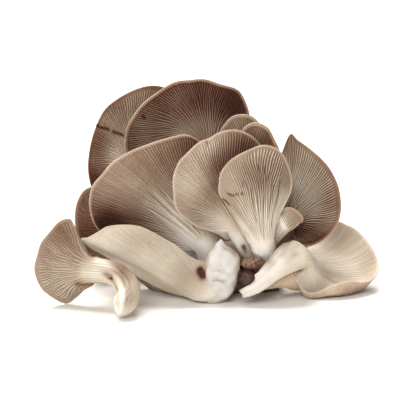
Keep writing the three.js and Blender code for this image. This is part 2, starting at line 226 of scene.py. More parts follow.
# ------------ lines and directions
LINE_STEPS = 24  # between two points of a smooth line
LUMP_WAVES = 9  # waves that make lumps
LUMP_LEVEL = 4  # brings their sum to about -1 to 1


def smoothstep(value, low, high):
    share = np.clip((value - low) / (high - low), 0, 1)
    return share * share * (3 - 2 * share)


def unit(vectors):
    return vectors / np.maximum(np.linalg.norm(vectors, axis=-1, keepdims=True), 1e-9)


def dot(first, second):
    return np.sum(first * second, axis=-1, keepdims=True)


def turn_between(first, second):
    """The smallest turn that brings one direction to another, as a matrix."""
    x, y, z = np.cross(first, second)
    cosine = float(np.dot(first, second))
    skew = np.array([[0, -z, y], [z, 0, -x], [-y, x, 0]])
    return np.eye(3) + skew + skew @ skew / (1 + cosine)


class Line:
    """A smooth line through points, read by the share of its length."""

    def __init__(self, points, closed=False):
        points = np.array(points, float)
        if closed:
            points = np.vstack([points[-1], points, points[:2]])
        else:
            points = np.vstack([2 * points[0] - points[1], points, 2 * points[-1] - points[-2]])
        t = np.linspace(0, 1, LINE_STEPS, endpoint=False)[:, None]
        spans = []
        for a, b, c, d in zip(points, points[1:], points[2:], points[3:]):
            spans.append(b + 0.5 * t * (c - a + t * (2 * a - 5 * b + 4 * c - d + t * (3 * (b - c) + d - a))))
        spans.append(points[-2:-1])
        self.points = np.vstack(spans)
        steps = np.linalg.norm(np.diff(self.points[:, :3], axis=0), axis=1)
        self.length = steps.sum()
        self.share = np.concatenate([[0], np.cumsum(steps)]) / self.length

    def at(self, share):
        return np.stack([np.interp(share, self.share, column) for column in self.points.T], axis=-1)


def soften(rings, width):
    """Evens out closed rings of points; width is a share of the way round."""
    count = rings.shape[1]
    waves = np.fft.rfftfreq(count, 1 / count)
    keep = np.exp(-2 * (math.pi * width * waves) ** 2)[None, :, None]
    return np.fft.irfft(np.fft.rfft(rings, axis=1) * keep, count, axis=1)


def lumps(places, size, seed):
    """A smooth uneven number at each place, about -1 to 1; size is how far apart the lumps are."""
    rng = np.random.default_rng(seed)
    total = np.zeros(places.shape[:-1])
    for _ in range(LUMP_WAVES):
        way = unit(rng.normal(size=3)) * TAU / size * rng.uniform(0.7, 1.4)
        total += np.sin(places @ way + rng.uniform(0, TAU))
    return total / LUMP_LEVEL


def near(places, points, width):
    """1 on a line through points, and fading to 0 away from it."""
    away = np.full(places.shape[:-1], np.inf)
    points = np.array(points, float)
    for start, end in zip(points, points[1:]):
        along = end - start
        share = np.clip((places - start) @ along / np.dot(along, along), 0, 1)
        away = np.minimum(away, np.linalg.norm(places - start - share[..., None] * along, axis=-1))
    return np.exp(-(away / width) ** 2)


# ------------ mushrooms
EDGE = 1.0  # thickness at the margin
EDGE_LEAST = 0.6  # and where the margin meets the stem
SHORT_CAP = 0.35  # thickness of a short cap, as a share of its length
FLOOR_GAP = 0.1
MARGIN_PARTS = 100  # into which the margin is cut to find its plane
MARGIN_REACH = 0.3  # share of the way over which the margin bends
MARGIN_LEAN = 0.6  # how far it levels out towards the cap's plane
SLOPE_STEP = 0.01  # share of the way over which a slope is taken
EDGE_STEP = 0.03  # and over which the margin's own slope is
NECK_CLEAR = 2.5  # neck radii after which the skin follows the gills
LIP_START = 0.7  # share of the way after which both sides draw in
SKIN_EVEN = 0.03  # share of the way round that evens out the inner skin
CROWN_RISE = 0.9  # of the middle of the top
CROWN_SWELL = 0.4  # half way to it
GILL_PITCH = 1.6  # at the margin
GILL_SLOPE = 0.1  # most height of a gill for the cap's length
GILL_LEAST = 0.1  # added to it
GILL_FADE = 2.5  # length over which the gills rise from the margin
NECK_GILLS = 0.35  # share of their height that they have at the neck
NECK_FADE = 0.3  # share of the way over which they reach the rest
STEM_RIDGES = 0.35  # and as ridges at the top of the stem
STEM_BEHIND = 0.2  # marks reach the stem only where it faces more to -Y
TORN_SIZE = 3  # how far apart the lumps of a torn root are
BELLY_START = 0.15  # share of the back over which a belly sets in
SWAY_LENGTH = 45  # sideways wandering takes every cap to be this long
SWAY_FADE = 0.4  # share of the way over which it sets in
LONG_SWAY = 26  # how far apart its long waves are
SHORT_SWAY = 11  # and its short ones
OTHER_SEED = 50  # added to a seed for a second set of lumps
# The parts of one gill's width where its points stand, and its height at each.
BLADE = [(0.0, 0.0), (0.22, 0.35), (0.4, 0.95), (0.6, 0.95), (0.78, 0.35)]
KINDS = 4  # one long gill, then a short, a middle and a short one
GILL_STARTS = [(-9.0, -9.0), (0.3, 0.6), (0.08, 0.25), (0.3, 0.6)]
FULL_LENGTH = 0.2  # share of the way over which a gill starts
SLIVER = 0.3  # width of a gill before it starts, next to what it gains
STRENGTHS = (0.7, 1.0)  # of single gills

# Rows run from the root of the stem (-1) to the neck (0) and the margin (1), round the lip, back
# over the top and in to the middle of the crown.
STEM_ROWS = 12
GILL_ROWS = 44
LIP_ROWS = 4
TOP_ROWS = 8
CROWN_ROWS = 5
STEM_V = -np.linspace(1, 0, STEM_ROWS, endpoint=False)
GILL_V = np.linspace(0, 1, GILL_ROWS) ** 0.9
LIP_TURNS = math.pi * np.arange(1, LIP_ROWS + 1) / (LIP_ROWS + 1)
TOP_V = np.linspace(1, 0.35, TOP_ROWS)
CROWN_SHARES = np.linspace(0, 1, CROWN_ROWS + 1)[1:]
UNDER_ROWS = 1 + STEM_ROWS + GILL_ROWS
OVER_ROWS = LIP_ROWS + TOP_ROWS + CROWN_ROWS

CREST_MIDDLE = 0.4  # height up a gill with the tone of the flesh
STEM_CONTRAST = 0.4  # contrast on the stem, as a share of the cap's
STRENGTH_TONE = 0.24  # how much lighter a stronger gill is
ROOT_TONE = 0.74  # of a stem's root, in a dark mushroom
ROOT_LIGHTER = 0.25  # how much lighter it is than the flesh in a pale one
BACK_BAND = (1, 9)  # where the margin's tone starts and ends to fade
CHANGE, DEPTH = 2, 3  # the numbers of a mark

# Form.
# stem: centre line from root to neck, as x, y, z and radius.
# rim: the cap's margin, clockwise as seen from the gills, starting behind the neck; a fourth
# number is how far the margin rolls in there, where it differs from curl.
# lift: how steeply the cap leaves the neck; curl: how far the margin rolls in; flesh: thickness
# over the neck; flat: width of the neck across the cap; dome: how far the cap swells between neck
# and margin; torn: how ragged the root is; pulls: places where the flesh swells, as x, y, z,
# reach and shift; belly: the same for the skin alone.
# Gills.
# band: width of the margin without them; bare: share of the way from the neck without them;
# gill: their height; sway: how far they wander sideways; calm: places where they fade, as x, z,
# reach and share; marks: slits, creases, grooves and crests, as a line of x and z, its width, its
# change of tone and its depth. Their change of tone is partly the mark's own colour and partly
# painted shade in slits and creases and painted light on raised crests.
# Colour.
# tone: how light the flesh is, 0 to 1; contrast: between crests and gaps, the darker gaps partly
# painted shade; edge_tone: of the margin; patches: places where the flesh differs, as x, z, reach
# and change, partly its own tone and partly painted shade and painted light; flecks: places with
# short streaks; hide: how light the skin is; skin_patches: places where the skin differs, used for
# painted shade under a belly.
# What a mushroom does not say stands in DEFAULTS.
DEFAULTS = dict(lift=0.35, curl=0.3, flesh=5, flat=1, dome=0, torn=0.3, bare=0, sway=0.5, hide=0.4,
                patches=[], skin_patches=[], flecks=[], calm=[], marks=[], pulls=[], belly=[])
MUSHROOMS = {}
MUSHROOMS["mushroom_front"] = dict(
    slot="cream_gills", seed=1, curl=0.15, flesh=4.5, flat=0.8, band=0.5, gill=1.5, sway=1.3, tone=0.66,
    contrast=0.42, edge_tone=0.7,
    patches=[[10, 62, 9, 0.12], [25, 70, 10, -0.2], [38, 72, 9, -0.18], [29, 44, 12, 0.31],
        [30, 26, 9, 0.62], [10, 56, 5, -0.1], [21, 48, 6, 0.04], [19, 77, 7, 0.07], [28, 30, 7, 0.05]],
    calm=[[9, 66, 9, 0.75], [14, 78, 7, 0.4], [12, 52, 6, 0.5], [43, 66, 5, 0.5], [30, 42, 13, 0.4]],
    marks=[[[[9.5, 59.6], [12.5, 58.6], [14.5, 59.4], [18.3, 60]], 0.4, -0.5, 1],
        [[[5.5, 56.8], [8.5, 55.6], [10.5, 53.5]], 0.5, -0.4, 0.9],
        [[[26, 75], [26.8, 71.6]], 0.35, -0.25, 0.5], [[[29.5, 74], [30, 70]], 0.3, -0.25, 0.5],
        [[[32.5, 70.5], [31.5, 67]], 0.3, -0.25, 0.5], [[[18.5, 66.5], [17.5, 63]], 0.3, -0.2, 0.4],
        [[[22.5, 62], [23.5, 54], [25.5, 45]], 0.4, -0.26, 0.4],
        [[[35, 64], [33, 56], [31.5, 47]], 0.4, -0.26, 0.4],
        [[[38.5, 66], [37, 58], [34.5, 50], [33.5, 42]], 0.35, -0.26, 0.4],
        [[[29.5, 58], [29, 46], [29.5, 36]], 0.35, -0.2, 0.3],
        [[[26, 58], [27, 47], [28, 38]], 0.3, -0.2, 0.3]],
    stem=[[32.6, 9.4, 14.2, 5], [31.3, 3, 22, 5.8], [29, -2, 32, 7]],
    rim=[[29, 7, 32], [21, 1, 31], [16, -1, 40], [12, -1, 48], [8, -1, 55], [5, -1, 60], [5, 0, 65],
        [6, 1, 71], [12, 3, 78], [22, 5, 83], [30, 7, 85], [38, 7, 82], [43, 5, 74], [45, 3, 65],
        [42, 1, 56], [38, 0, 49], [36, 1, 39], [36, 4, 32]])
MUSHROOMS["mushroom_front_ear"] = dict(
    slot="cream_gills", seed=2, lift=0.3, curl=0.2, flesh=3, band=1, gill=0.8, tone=0.68, contrast=0.3,
    edge_tone=0.6,
    patches=[[39, 42, 5, 0.2], [47, 45, 5, -0.14], [35, 36, 5, 0.2]],
    marks=[[[[38.5, 45], [40, 42], [41.5, 39.5]], 1.5, 0.35, -0.5]],
    stem=[[32, 4, 24, 3], [34, 3, 29, 3], [36, 2, 33, 3]],
    rim=[[36, 6, 31], [34, 4, 36], [33, 2, 44], [36, 1, 48], [40, 1, 50], [44, 1, 51], [48, 1, 49],
        [51, 1, 46], [51, 1, 43], [48, 2, 41], [45, 2, 38], [42, 3, 35], [39, 5, 31]])
MUSHROOMS["mushroom_centre"] = dict(
    slot="cream_gills", seed=3, lift=0.3, curl=0.25, flesh=4.5, flat=0.9, band=0.5, gill=1.3, tone=0.6,
    contrast=0.28, edge_tone=0.72,
    # The dark patches on the right part, behind the front cap, are painted shade.
    patches=[[-14, 62, 12, 0.18], [-16, 54, 8, -0.04], [0, 86, 9, 0.14], [20, 82, 11, -0.5],
        [5, 74, 8, -0.28], [6, 62, 9, -0.2], [-2, 53, 8, -0.08], [2, 45, 8, 0.2], [8, 38, 9, 0.3],
        [16, 30, 8, 0.4], [-6, 71, 8, 0.07]],
    calm=[[-14, 62, 14, 0.7], [-14, 78, 9, 0.4]],
    marks=[[[[18.6, 28.6], [19.2, 26.9]], 1.3, -0.9, 1.5], [[[-2, 86.8], [-1.5, 84.6]], 0.5, -0.25, 0.9]],
    stem=[[26, 9, 16, 4.2], [20, 5.2, 26, 4.2], [14, 5.5, 38, 5]],
    rim=[[17, 12, 41], [11, 7, 31], [5, 2.5, 35], [-1, 0, 38.5], [-7, -1, 41], [-14, -1, 46], [-19, 0, 52],
        [-20, 1, 60], [-20, 2, 68], [-17, 4, 76], [-12, 6, 81], [-6, 9, 86], [0, 11, 88], [6, 13, 91],
        [14, 14, 92], [22, 15, 89], [28, 16, 83], [32, 17, 74], [31, 17, 63], [26, 16, 52], [21, 15, 44]])
MUSHROOMS["mushroom_large_left"] = dict(
    slot="tan_gills", seed=4, lift=0.3, curl=0.2, band=0.5, gill=1.4, sway=0.8, tone=0.52, contrast=0.3,
    edge_tone=0.74,
    # The dark patches along the lower margin, next to the folded cap, are partly painted shade.
    patches=[[-42, 62, 18, 0.08], [-58, 34, 13, -0.65], [-40, 32, 12, -0.44], [-60, 52, 8, -0.04],
        [-26, 70, 12, -0.14], [-8, 82, 13, -0.32], [-27, 46, 10, 0.15], [-12, 38, 12, 0.25],
        [-14, 25, 9, 0.3], [-1, 26, 9, 0.65], [5, 32, 4, -0.15], [-58, 63, 9, 0.07], [-56, 38, 7, -0.3],
        [-17, 40, 9, 0.16]],
    calm=[[-60, 58, 14, 0.7], [-40, 72, 14, 0.65], [-18, 80, 9, 0.4], [1, 24, 8, 0.8]],
    marks=[[[[-31.9, 48.2], [-16.5, 38.3], [-6.8, 31.6]], 0.5, -0.1, 0.45],
        [[[-33.6, 56.6], [-24.5, 48.6], [-12.5, 38.9], [-5.7, 32.7]], 0.55, -0.13, 0.5],
        [[[-28.5, 59.4], [-20.5, 49.6], [-11.4, 42.1], [-5.1, 34.5]], 0.5, -0.13, 0.5],
        [[[-21, 55.3], [-16.5, 49.1], [-9.1, 41.7], [-4, 36.5]], 0.5, -0.1, 0.45],
        [[[-31, 57.8], [-22.5, 49], [-12, 40.5], [-5.4, 33.6]], 0.6, 0.1, -0.4],
        [[[-18, 43], [-9, 36.3], [-4.5, 31.5]], 0.5, -0.08, 0.35],
        [[[-33.4, 46.2], [-25.2, 39.1], [-16.9, 31.6], [-11, 26]], 0.5, -0.1, 0.4],
        [[[-30.3, 52.6], [-22.3, 44.9], [-14, 38.1], [-7, 32.5]], 0.5, 0.09, -0.35],
        [[[-22, 53.5], [-16, 47.4], [-10, 41.8], [-4.8, 36]], 0.5, 0.09, -0.35],
        [[[-33, 47], [-24, 41.5], [-16, 36], [-8.5, 30]], 0.5, 0.08, -0.35]],
    stem=[[3, 13, 10, 8], [1.5, 12.5, 16, 8], [-0.5, 11.5, 23, 7]],
    rim=[[6, 17, 30], [6, 16, 12], [-4, 14.5, 5.5], [-18, 13.5, 4], [-32, 14, 5], [-45, 14, 12],
        [-54, 14, 22], [-60, 14, 31], [-65, 13, 39], [-67, 12, 47], [-67, 12, 54], [-65, 12, 61],
        [-60, 12, 67], [-54, 12, 74], [-44, 13, 80], [-33, 15, 84], [-22, 17, 87], [-13, 19, 88],
        [-6, 21, 84], [0, 22, 76], [3, 22, 65], [4, 21, 52], [5, 19, 41]])
MUSHROOMS["mushroom_top"] = dict(
    slot="brown_gills", seed=5, lift=0.4, curl=0.7, band=0.9, gill=1.5, tone=0.26, contrast=0.36,
    edge_tone=0.56,
    patches=[[8, 104, 16, -0.18], [-2, 84, 14, 0.3], [-36, 84, 12, 0.05], [-32, 106, 9, -0.16],
        [16, 104, 9, -0.25], [14, 93, 8, -0.1], [-8, 110, 9, -0.1], [-17, 83, 8, 0.2]],
    marks=[[[[-37.8, 94.2], [-37, 93.2]], 0.9, -0.35, 0.5]],
    stem=[[9, 27, 15, 5], [6, 34, 31, 5], [1, 38, 53, 5], [-1, 40, 74, 5.5]],
    rim=[[1, 51, 65], [-9, 48, 61], [-22, 45, 61], [-35, 42, 63], [-45, 39, 69], [-48, 38, 77],
        [-47, 37, 86], [-44, 37, 93], [-38, 38, 101], [-29, 39, 108], [-20, 41, 113], [-11, 43, 114],
        [-3, 45, 114], [6, 46, 111], [15, 47, 108], [19, 47, 103], [22, 47, 95], [23, 48, 86],
        [20, 50, 76], [12, 51, 69]])
MUSHROOMS["mushroom_back_left"] = dict(
    slot="tan_gills", seed=6, lift=0.4, curl=0.4, band=0.8, gill=1.3, tone=0.38, contrast=0.21,
    edge_tone=0.3,
    patches=[[-44, 70, 14, 0.25], [-44, 86, 12, 0.15], [-64, 75, 10, -0.1], [-55, 66, 7, 0.26],
        [-69, 50, 9, -0.4], [-48, 60, 7, -0.1], [-42, 104, 7, 0.15], [-63, 88, 7, 0.12],
        [-64, 42, 8, -0.16], [-58, 72, 8, 0.06]],
    marks=[[[[-63, 83.6], [-58.6, 82.2]], 0.8, -0.45, 1.1], [[[-55.5, 80.8], [-50, 78.9]], 0.8, -0.5, 1.1],
        [[[-67, 86.3], [-64.5, 84.8]], 0.9, -0.4, 0.6]],
    stem=[[0, 33, 16, 5], [-10, 43, 24, 5], [-24, 54, 39, 5], [-37, 57, 57, 5.5]],
    rim=[[-28, 69, 50], [-36, 67, 42], [-48, 63, 38], [-59, 59, 39], [-67, 57, 45], [-70, 56, 55],
        [-70, 56, 66], [-67, 57, 80], [-61, 58, 93], [-53, 59, 100], [-43, 61, 105], [-33, 63, 107],
        [-23, 66, 104], [-15, 69, 97], [-12, 71, 86], [-13, 72, 72], [-20, 71, 59]])
MUSHROOMS["mushroom_small_upper"] = dict(
    slot="tan_gills", seed=7, flesh=3.5, band=1.2, gill=0.8, tone=0.4, contrast=0.25, edge_tone=0.7,
    patches=[[13, 92, 6, 0.14]],
    stem=[[19, 30, 15, 4], [20, 33, 33, 3.6], [21, 34, 53, 3.4], [20, 33, 71, 3.2]],
    rim=[[22, 39, 67], [15, 36, 71], [8, 33, 78], [6, 31, 86], [9, 31, 92], [14, 32, 96], [22, 33, 96],
        [28, 34, 91], [32, 36, 83], [30, 38, 74], [27, 39, 69]])
MUSHROOMS["mushroom_small_right"] = dict(
    slot="tan_gills", seed=8, flesh=3.5, band=1.4, gill=0.9, tone=0.2, contrast=0.22, edge_tone=0.62,
    patches=[[26, 90, 6, 0.18]],
    stem=[[29, 26, 15, 4], [30, 27, 32, 3.6], [29, 26, 48, 3.4], [27, 24, 66, 3.2]],
    rim=[[28, 30, 62], [21, 26, 67], [17, 23, 75], [16, 22, 84], [19, 22, 91], [25, 23, 94], [32, 24, 91],
        [36, 25, 84], [39, 26, 77], [39, 28, 69], [35, 30, 63]])
MUSHROOMS["mushroom_right"] = dict(
    slot="tan_gills", seed=9, band=0.8, gill=1.4, tone=0.52, contrast=0.4, edge_tone=0.42,
    # The dark patch low down, where the gills turn down, is painted shade.
    patches=[[46, 62, 14, 0.14], [58, 31, 12, -0.5], [46, 80, 8, -0.08], [57, 42, 9, 0.16],
        [60, 64, 9, -0.08], [68, 50, 8, -0.16], [40, 60, 6, 0.12], [51, 53, 8, 0.1], [50, 62, 6, 0.05]],
    stem=[[38, 15, 14, 5], [40, 18, 24, 5], [42, 19, 34, 5.5]],
    rim=[[38, 26, 31], [36, 28, 42], [36, 29, 54], [38, 30, 67], [41, 30, 77], [45, 30, 86], [49, 29, 83],
        [56, 28, 78], [63, 26, 72], [68, 23, 66], [72, 20, 57], [73, 16, 47], [71, 12, 39], [66, 9, 33],
        [58, 8, 28], [51, 10, 27], [45, 13, 29], [40, 20, 29]])
MUSHROOMS["mushroom_lying_right"] = dict(
    slot="pale_gills", seed=10, lift=0.15, flesh=6, dome=0.28, torn=1.6, band=0.3, bare=0.2, gill=0.2,
    tone=0.82, contrast=0.04, edge_tone=0.9, hide=0.5,
    # The two small dark patches at the knob's upper left are painted shade.
    patches=[[44, 28, 8, -0.04], [26, 12, 6, -0.03], [38, 26, 5, 0.1], [76, 24, 18, -0.08],
        [66, 10, 8, 0.03], [31, 31, 4, -0.24], [60, 6, 8, -0.06], [80, 8, 8, 0.08], [50, 27, 4, 0.1],
        [37, 36, 4, -0.1], [58, 16, 6, 0.1], [31, 25, 3.5, -0.3], [88, 13, 8, -0.08], [82, 36, 7, 0.13]],
    # Painted shade: the skin of the belly near the floor is made darker.
    skin_patches=[[82, 4, 12, -0.3]],
    marks=[[[[39.6, 28.4], [40.6, 31.2], [43.8, 33.6]], 1.1, -0.16, 1.4],
        [[[46.6, 30.6], [45.6, 26.4]], 1.3, -0.1, 0.9],
        [[[40.5, 27], [42, 23.5], [43.5, 18]], 0.8, -0.2, 1.3],
        [[[47.5, 34], [49.5, 30], [50, 26]], 2, 0.06, -1],
        [[[41, 31], [39, 25], [35, 20]], 1.6, 0.06, -0.7], [[[25.4, 16.6], [27, 14.8]], 1, -0.12, 1.8],
        [[[23.2, 16.5], [24.2, 17.5]], 0.9, -0.1, -1.4],
        [[[20, 8.5], [26, 11.5], [33, 15.5]], 0.5, -0.08, 0.5],
        [[[24, 13.5], [30, 19], [36, 25]], 0.4, -0.07, 0.4]],
    pulls=[[47, -8, 26, 7, 0, -1.5, 1.5], [53, -5, 25, 7, 3, -3, 1], [16, -16, 9.5, 2, -1.2, 0, -0.5],
        [22.6, -15.5, 14.2, 3.2, 1.6, 0, -1.7], [25.6, -15.3, 17.2, 1.5, -1.8, 0, 0.6]],
    belly=[[64, -5, 5, 11, 0, -1.5, -2.2], [76, -2, 7, 9, 0, -1.5, -2.5]],
    stem=[[18, -16, 7, 2.4], [22, -15.7, 8.8, 3.4], [27.5, -14.5, 12.6, 4.6], [33, -12, 17.5, 5.6],
        [40, -8, 22.5, 7.6], [46.5, -2, 25, 8.8]],
    rim=[[41, 2, 15], [43, 8, 17], [48, 15, 20], [54, 25, 24], [61, 34, 29], [72, 38, 33], [79, 37, 31],
        [85, 35, 28], [92, 27, 21], [95, 18, 13], [92.5, 9, 9.5, 1], [88.5, 5, 7.7, 2], [83.5, 1, 8.5, 3],
        [77.5, -2, 10, 3.5], [72, -4, 9.5, 3.5], [66, -5, 7.6, 3], [60.5, -6, 5.3, 2], [56, -7, 4.7, 1.5],
        [53, -7.5, 6, 1], [50, -8, 9], [47, -8.5, 13], [44, -8, 16.5], [41, -3, 16]])
MUSHROOMS["mushroom_folded"] = dict(
    slot="pale_gills", seed=11, lift=0.2, curl=0.1, dome=-0.05, band=0.8, gill=0.45, tone=0.88,
    contrast=0.08, edge_tone=0.85, hide=0.1,
    patches=[[-30, 20, 12, 0.02], [-38, 36, 9, -0.12], [-12, 16, 14, -0.16], [-6, 3, 9, 0.16],
        [-27, 34, 7, -0.08], [-44, 26, 6, 0.06], [-33, 20, 8, -0.08], [-22, 18, 7, -0.05]],
    flecks=[[-30, 36, 8, 0.5], [-22, 30, 7, 0.3], [-12, 19, 8, 0.25], [-34, 15, 6, 0.2]],
    marks=[[[[-5.2, 18.8], [-3.9, 16.9]], 1.8, -1.3, 1.6]],
    pulls=[[-6, -9, 3, 8.5, 0, -3.5, -0.6]],
    belly=[[-12, 6, 4, 9, 0, 4, -2], [-26, 5, 7, 12, 0, 6, -7], [-38, 5, 12, 12, 0, 5, -9],
        [-50, 2, 20, 10, 0, 4, -4]],
    stem=[[10.5, -4, 9, 4], [9, -4.5, 9, 6.5], [6, -5.5, 9.6, 8.6], [1, -6, 10.3, 9.6],
        [-5, -6.4, 11.6, 10]],
    rim=[[-1, 2.5, 20], [1, -1, 3], [-7, -3.5, 1.2], [-15, -3, 1.2], [-24, -1.5, 3.2], [-32, 0.5, 6.4],
        [-40, 1, 11], [-50, 0, 18], [-60, -3, 25.5], [-66, -5, 29.5], [-71, -8, 35], [-67, -11, 37],
        [-61, -13, 41], [-56, -13, 44], [-47, -13, 45], [-38, -13, 44], [-30, -12, 40], [-24, -11, 36],
        [-19, -10.5, 33], [-15, -10, 29.5], [-11, -9.5, 26], [-6, -9, 23.5], [-1, -6, 22.5]])
MUSHROOMS["mushroom_far_left"] = dict(
    slot="cream_gills", seed=12, band=1, gill=1.2, sway=1.4, tone=0.68, contrast=0.26, edge_tone=0.62,
    hide=0.6,
    # The darkest patches at the stem's right end, under the folded cap's edge, are painted shadow.
    patches=[[-82, 42, 9, -0.28], [-90, 12, 8, -0.06], [-74, 33, 8, -0.18], [-60, 22, 8, 0.25],
        [-46, 25, 6, -0.43], [-54, 25, 6, -0.18], [-73, 12, 6, -0.08], [-40, 13, 6, -0.2],
        [-48, 5, 5, 0.05], [-50.5, 12, 3, 0.2], [-68, 20, 5, 0.12], [-52, 18, 3, 0.15], [-47, 8, 6, -0.07],
        [-76, 21, 7, 0.06], [-88, 30, 8, -0.02]],
    calm=[[-86, 36, 12, 0.5], [-66, 22, 8, 0.5]],
    marks=[[[[-54.8, 20.8], [-54, 19.6]], 1.3, -0.9, 1.6],
        [[[-61.4, 27.5], [-56.6, 26.6], [-51.8, 23.4], [-48.3, 18.9], [-46.6, 13.9], [-47.6, 8.3],
         [-50, 3.2]], 1.7, 0.2, -0.8],
        [[[-53, 19], [-50.2, 15], [-48.8, 10]], 0.7, -0.3, 0.8],
        [[[-54, 24.5], [-47, 20.5], [-43.8, 14], [-45, 7]], 0.6, -0.16, 0.6],
        [[[-50, 25], [-43.5, 20], [-41.8, 13], [-43.5, 6]], 0.5, -0.14, 0.5],
        [[[-72, 13], [-64.8, 12.4], [-59.4, 14]], 1.6, -0.35, 0.4]],
    stem=[[-47.5, -41.5, 3, 2.2], [-46.5, -38, 6.8, 6], [-43.7, -31, 12.6, 6.6], [-47.5, -25, 18.3, 6.5],
        [-55, -20.5, 20.6, 6.3], [-63, -17, 20.3, 7]],
    rim=[[-61, -9, 23], [-63, -12, 12], [-69, -14, 8], [-75, -14, 3], [-80, -14, 0.5], [-88, -17, 6],
        [-93, -18, 12], [-95.7, -17, 21], [-94, -15, 29], [-92, -13, 35], [-87, -11, 41], [-82, -9, 46],
        [-76, -8, 47], [-74, -6, 40], [-70, -5, 33], [-66, -6, 26]])
MUSHROOMS["mushroom_hidden_left"] = dict(
    slot="brown_gills", seed=13, flesh=4, band=1.2, gill=0.8, tone=0.32, contrast=0.15, edge_tone=0.5,
    patches=[[-70, 27, 9, -0.2]],
    stem=[[4, 26, 9, 4.5], [-14, 31, 11, 4.5], [-36, 34, 17, 4.5], [-54, 34, 27, 4.5]],
    rim=[[-50, 41, 26], [-51, 38, 11], [-58, 34, 4], [-67, 30, 9], [-74, 28, 22], [-76, 27, 32],
        [-76, 27, 42], [-74, 28, 49], [-70, 30, 54], [-63, 33, 55], [-56, 36, 51], [-50, 39, 43],
        [-48, 41, 34]])


class Cap:
    """The smooth gill side of one mushroom, by the share u of the way round its margin and the
    share v of the way from its neck (0) to the margin (1)."""

    def __init__(self, shape):
        self.shape = shape
        self.rim = Line([self.rolled(*point) for point in shape["rim"]], closed=True)
        ring = self.margin(np.arange(MARGIN_PARTS) / MARGIN_PARTS)
        self.top = unit(np.cross(ring, np.roll(ring, -1, axis=0)).sum(axis=0))
        *neck, self.radius = shape["stem"][-1]
        self.neck = np.array(neck, float)
        self.axis = unit(self.neck - np.array(shape["stem"][-2][:3]))
        self.turn = turn_between(self.top, self.axis)
        self.across = unit(self.top - np.dot(self.top, self.axis) * self.axis)
        self.flat = shape["flat"]
        self.dome = shape["dome"]

    def rolled(self, x, y, z, curl=None):
        """A point of the margin, with how far the margin rolls in there."""
        return [x, y, z, self.shape["curl"] if curl is None else curl]

    def margin(self, u):
        return self.rim.at(u)[..., :3]

    def circle(self, u):
        """The margin laid out as a plain circle, as x and y."""
        radius = self.rim.length / TAU
        return radius * np.cos(TAU * u), radius * np.sin(TAU * u)

    def around(self, u):
        """From the neck's centre towards its own edge."""
        out = self.margin(u) - self.neck
        out = unit(out - dot(out, self.top) * self.top) @ self.turn.T
        return out - (1 - self.flat) * dot(out, self.across) * self.across

    def ends(self, u):
        """The places at the neck and at the margin, and how far apart they are."""
        end = self.margin(u)
        start = self.neck + self.radius * self.around(u)
        return start, end, np.linalg.norm(end - start, axis=-1, keepdims=True)

    def length(self, u):
        return self.ends(u)[2][..., 0]

    def place(self, u, v):
        start, end, length = self.ends(u % 1)
        out = end - self.neck
        out = unit(out - MARGIN_LEAN * dot(out, self.top) * self.top)
        reach = unit(out - self.rim.at(u % 1)[..., 3:] * self.top) * MARGIN_REACH * length
        first = start + length * (self.shape["lift"] * self.axis + self.dome * self.top)
        second = end - reach + self.dome * length * self.top
        v = np.broadcast_to(v, u.shape)[..., None]
        w = 1 - v
        return w ** 3 * start + 3 * w * w * v * first + 3 * w * v * v * second + v ** 3 * end

    def normal(self, u, v):
        """Out of the flesh on the gill side."""
        low, high = np.maximum(v - SLOPE_STEP, 0), np.minimum(v + SLOPE_STEP, 1)
        along = self.place(u, high) - self.place(u, low)
        return unit(np.cross(self.place(u + SLOPE_STEP, v) - self.place(u - SLOPE_STEP, v), along))


def pulled(places, pulls, share):
    """Moves the places round each x, y, z, within a reach, by a shift."""
    for x, y, z, reach, *shift in pulls:
        away = np.linalg.norm(places - [x, y, z], axis=-1, keepdims=True) / reach
        places = places + share * np.exp(-away ** 2) * shift
    return places


def patched(places, patches):
    """The sum of the changes at each place, from patches given as x, z, reach and change."""
    total = np.zeros(places.shape[:2])
    for x, z, reach, change in patches:
        away = np.hypot(places[..., 0] - x, places[..., 2] - z) / reach
        total += change * np.exp(-away ** 2)
    return total


def marked(places, marks, number):
    """The sum at each place of one number of each mark, its change of tone or its depth."""
    total = np.zeros(places.shape[:2])
    for mark in marks:
        points, width = mark[:2]
        total += mark[number] * near(places[..., [0, 2]], points, width)
    return total


def pole(row):
    """The middle of a row, once for each of its columns."""
    return np.repeat(row.mean(axis=0)[None, None], len(row), axis=1)


def gill_layout(count, rng):
    """Where the points of the gills stand round the cap in every row, how far up a gill they are,
    and how strong each gill is."""
    rows_v = np.concatenate([STEM_V, GILL_V])
    groups = count // KINDS
    starts = np.concatenate([[rng.uniform(low, high) for low, high in GILL_STARTS]
                             for _ in range(groups)])
    grown = smoothstep(rows_v[:, None], starts, starts + FULL_LENGTH)
    widths = (SLIVER + grown).reshape(len(rows_v), groups, KINDS)
    widths /= widths.sum(axis=2, keepdims=True) * groups
    widths = widths.reshape(len(rows_v), count)
    left = np.cumsum(widths, axis=1) - widths
    parts = np.array([part for part, _ in BLADE])
    heights = np.array([height for _, height in BLADE])
    u = (left[..., None] + widths[..., None] * parts).reshape(len(rows_v), -1)
    crest = (grown[..., None] * heights).reshape(len(rows_v), -1)
    strength = rng.uniform(*STRENGTHS, count)
    return u, crest, np.repeat(strength, len(BLADE))


def sway(u, cap):
    """How far the gills wander sideways, as shares of the way round."""
    v = np.concatenate([np.zeros(STEM_ROWS), GILL_V])[:, None]
    circle = np.stack([*cap.circle(u), SWAY_LENGTH * v + 0 * u], axis=-1)
    seed = cap.shape["seed"]
    wander = lumps(circle, LONG_SWAY, seed) + 0.5 * lumps(circle, SHORT_SWAY, seed + OTHER_SEED)
    return cap.shape["sway"] / cap.rim.length * wander * smoothstep(v, 0, SWAY_FADE)


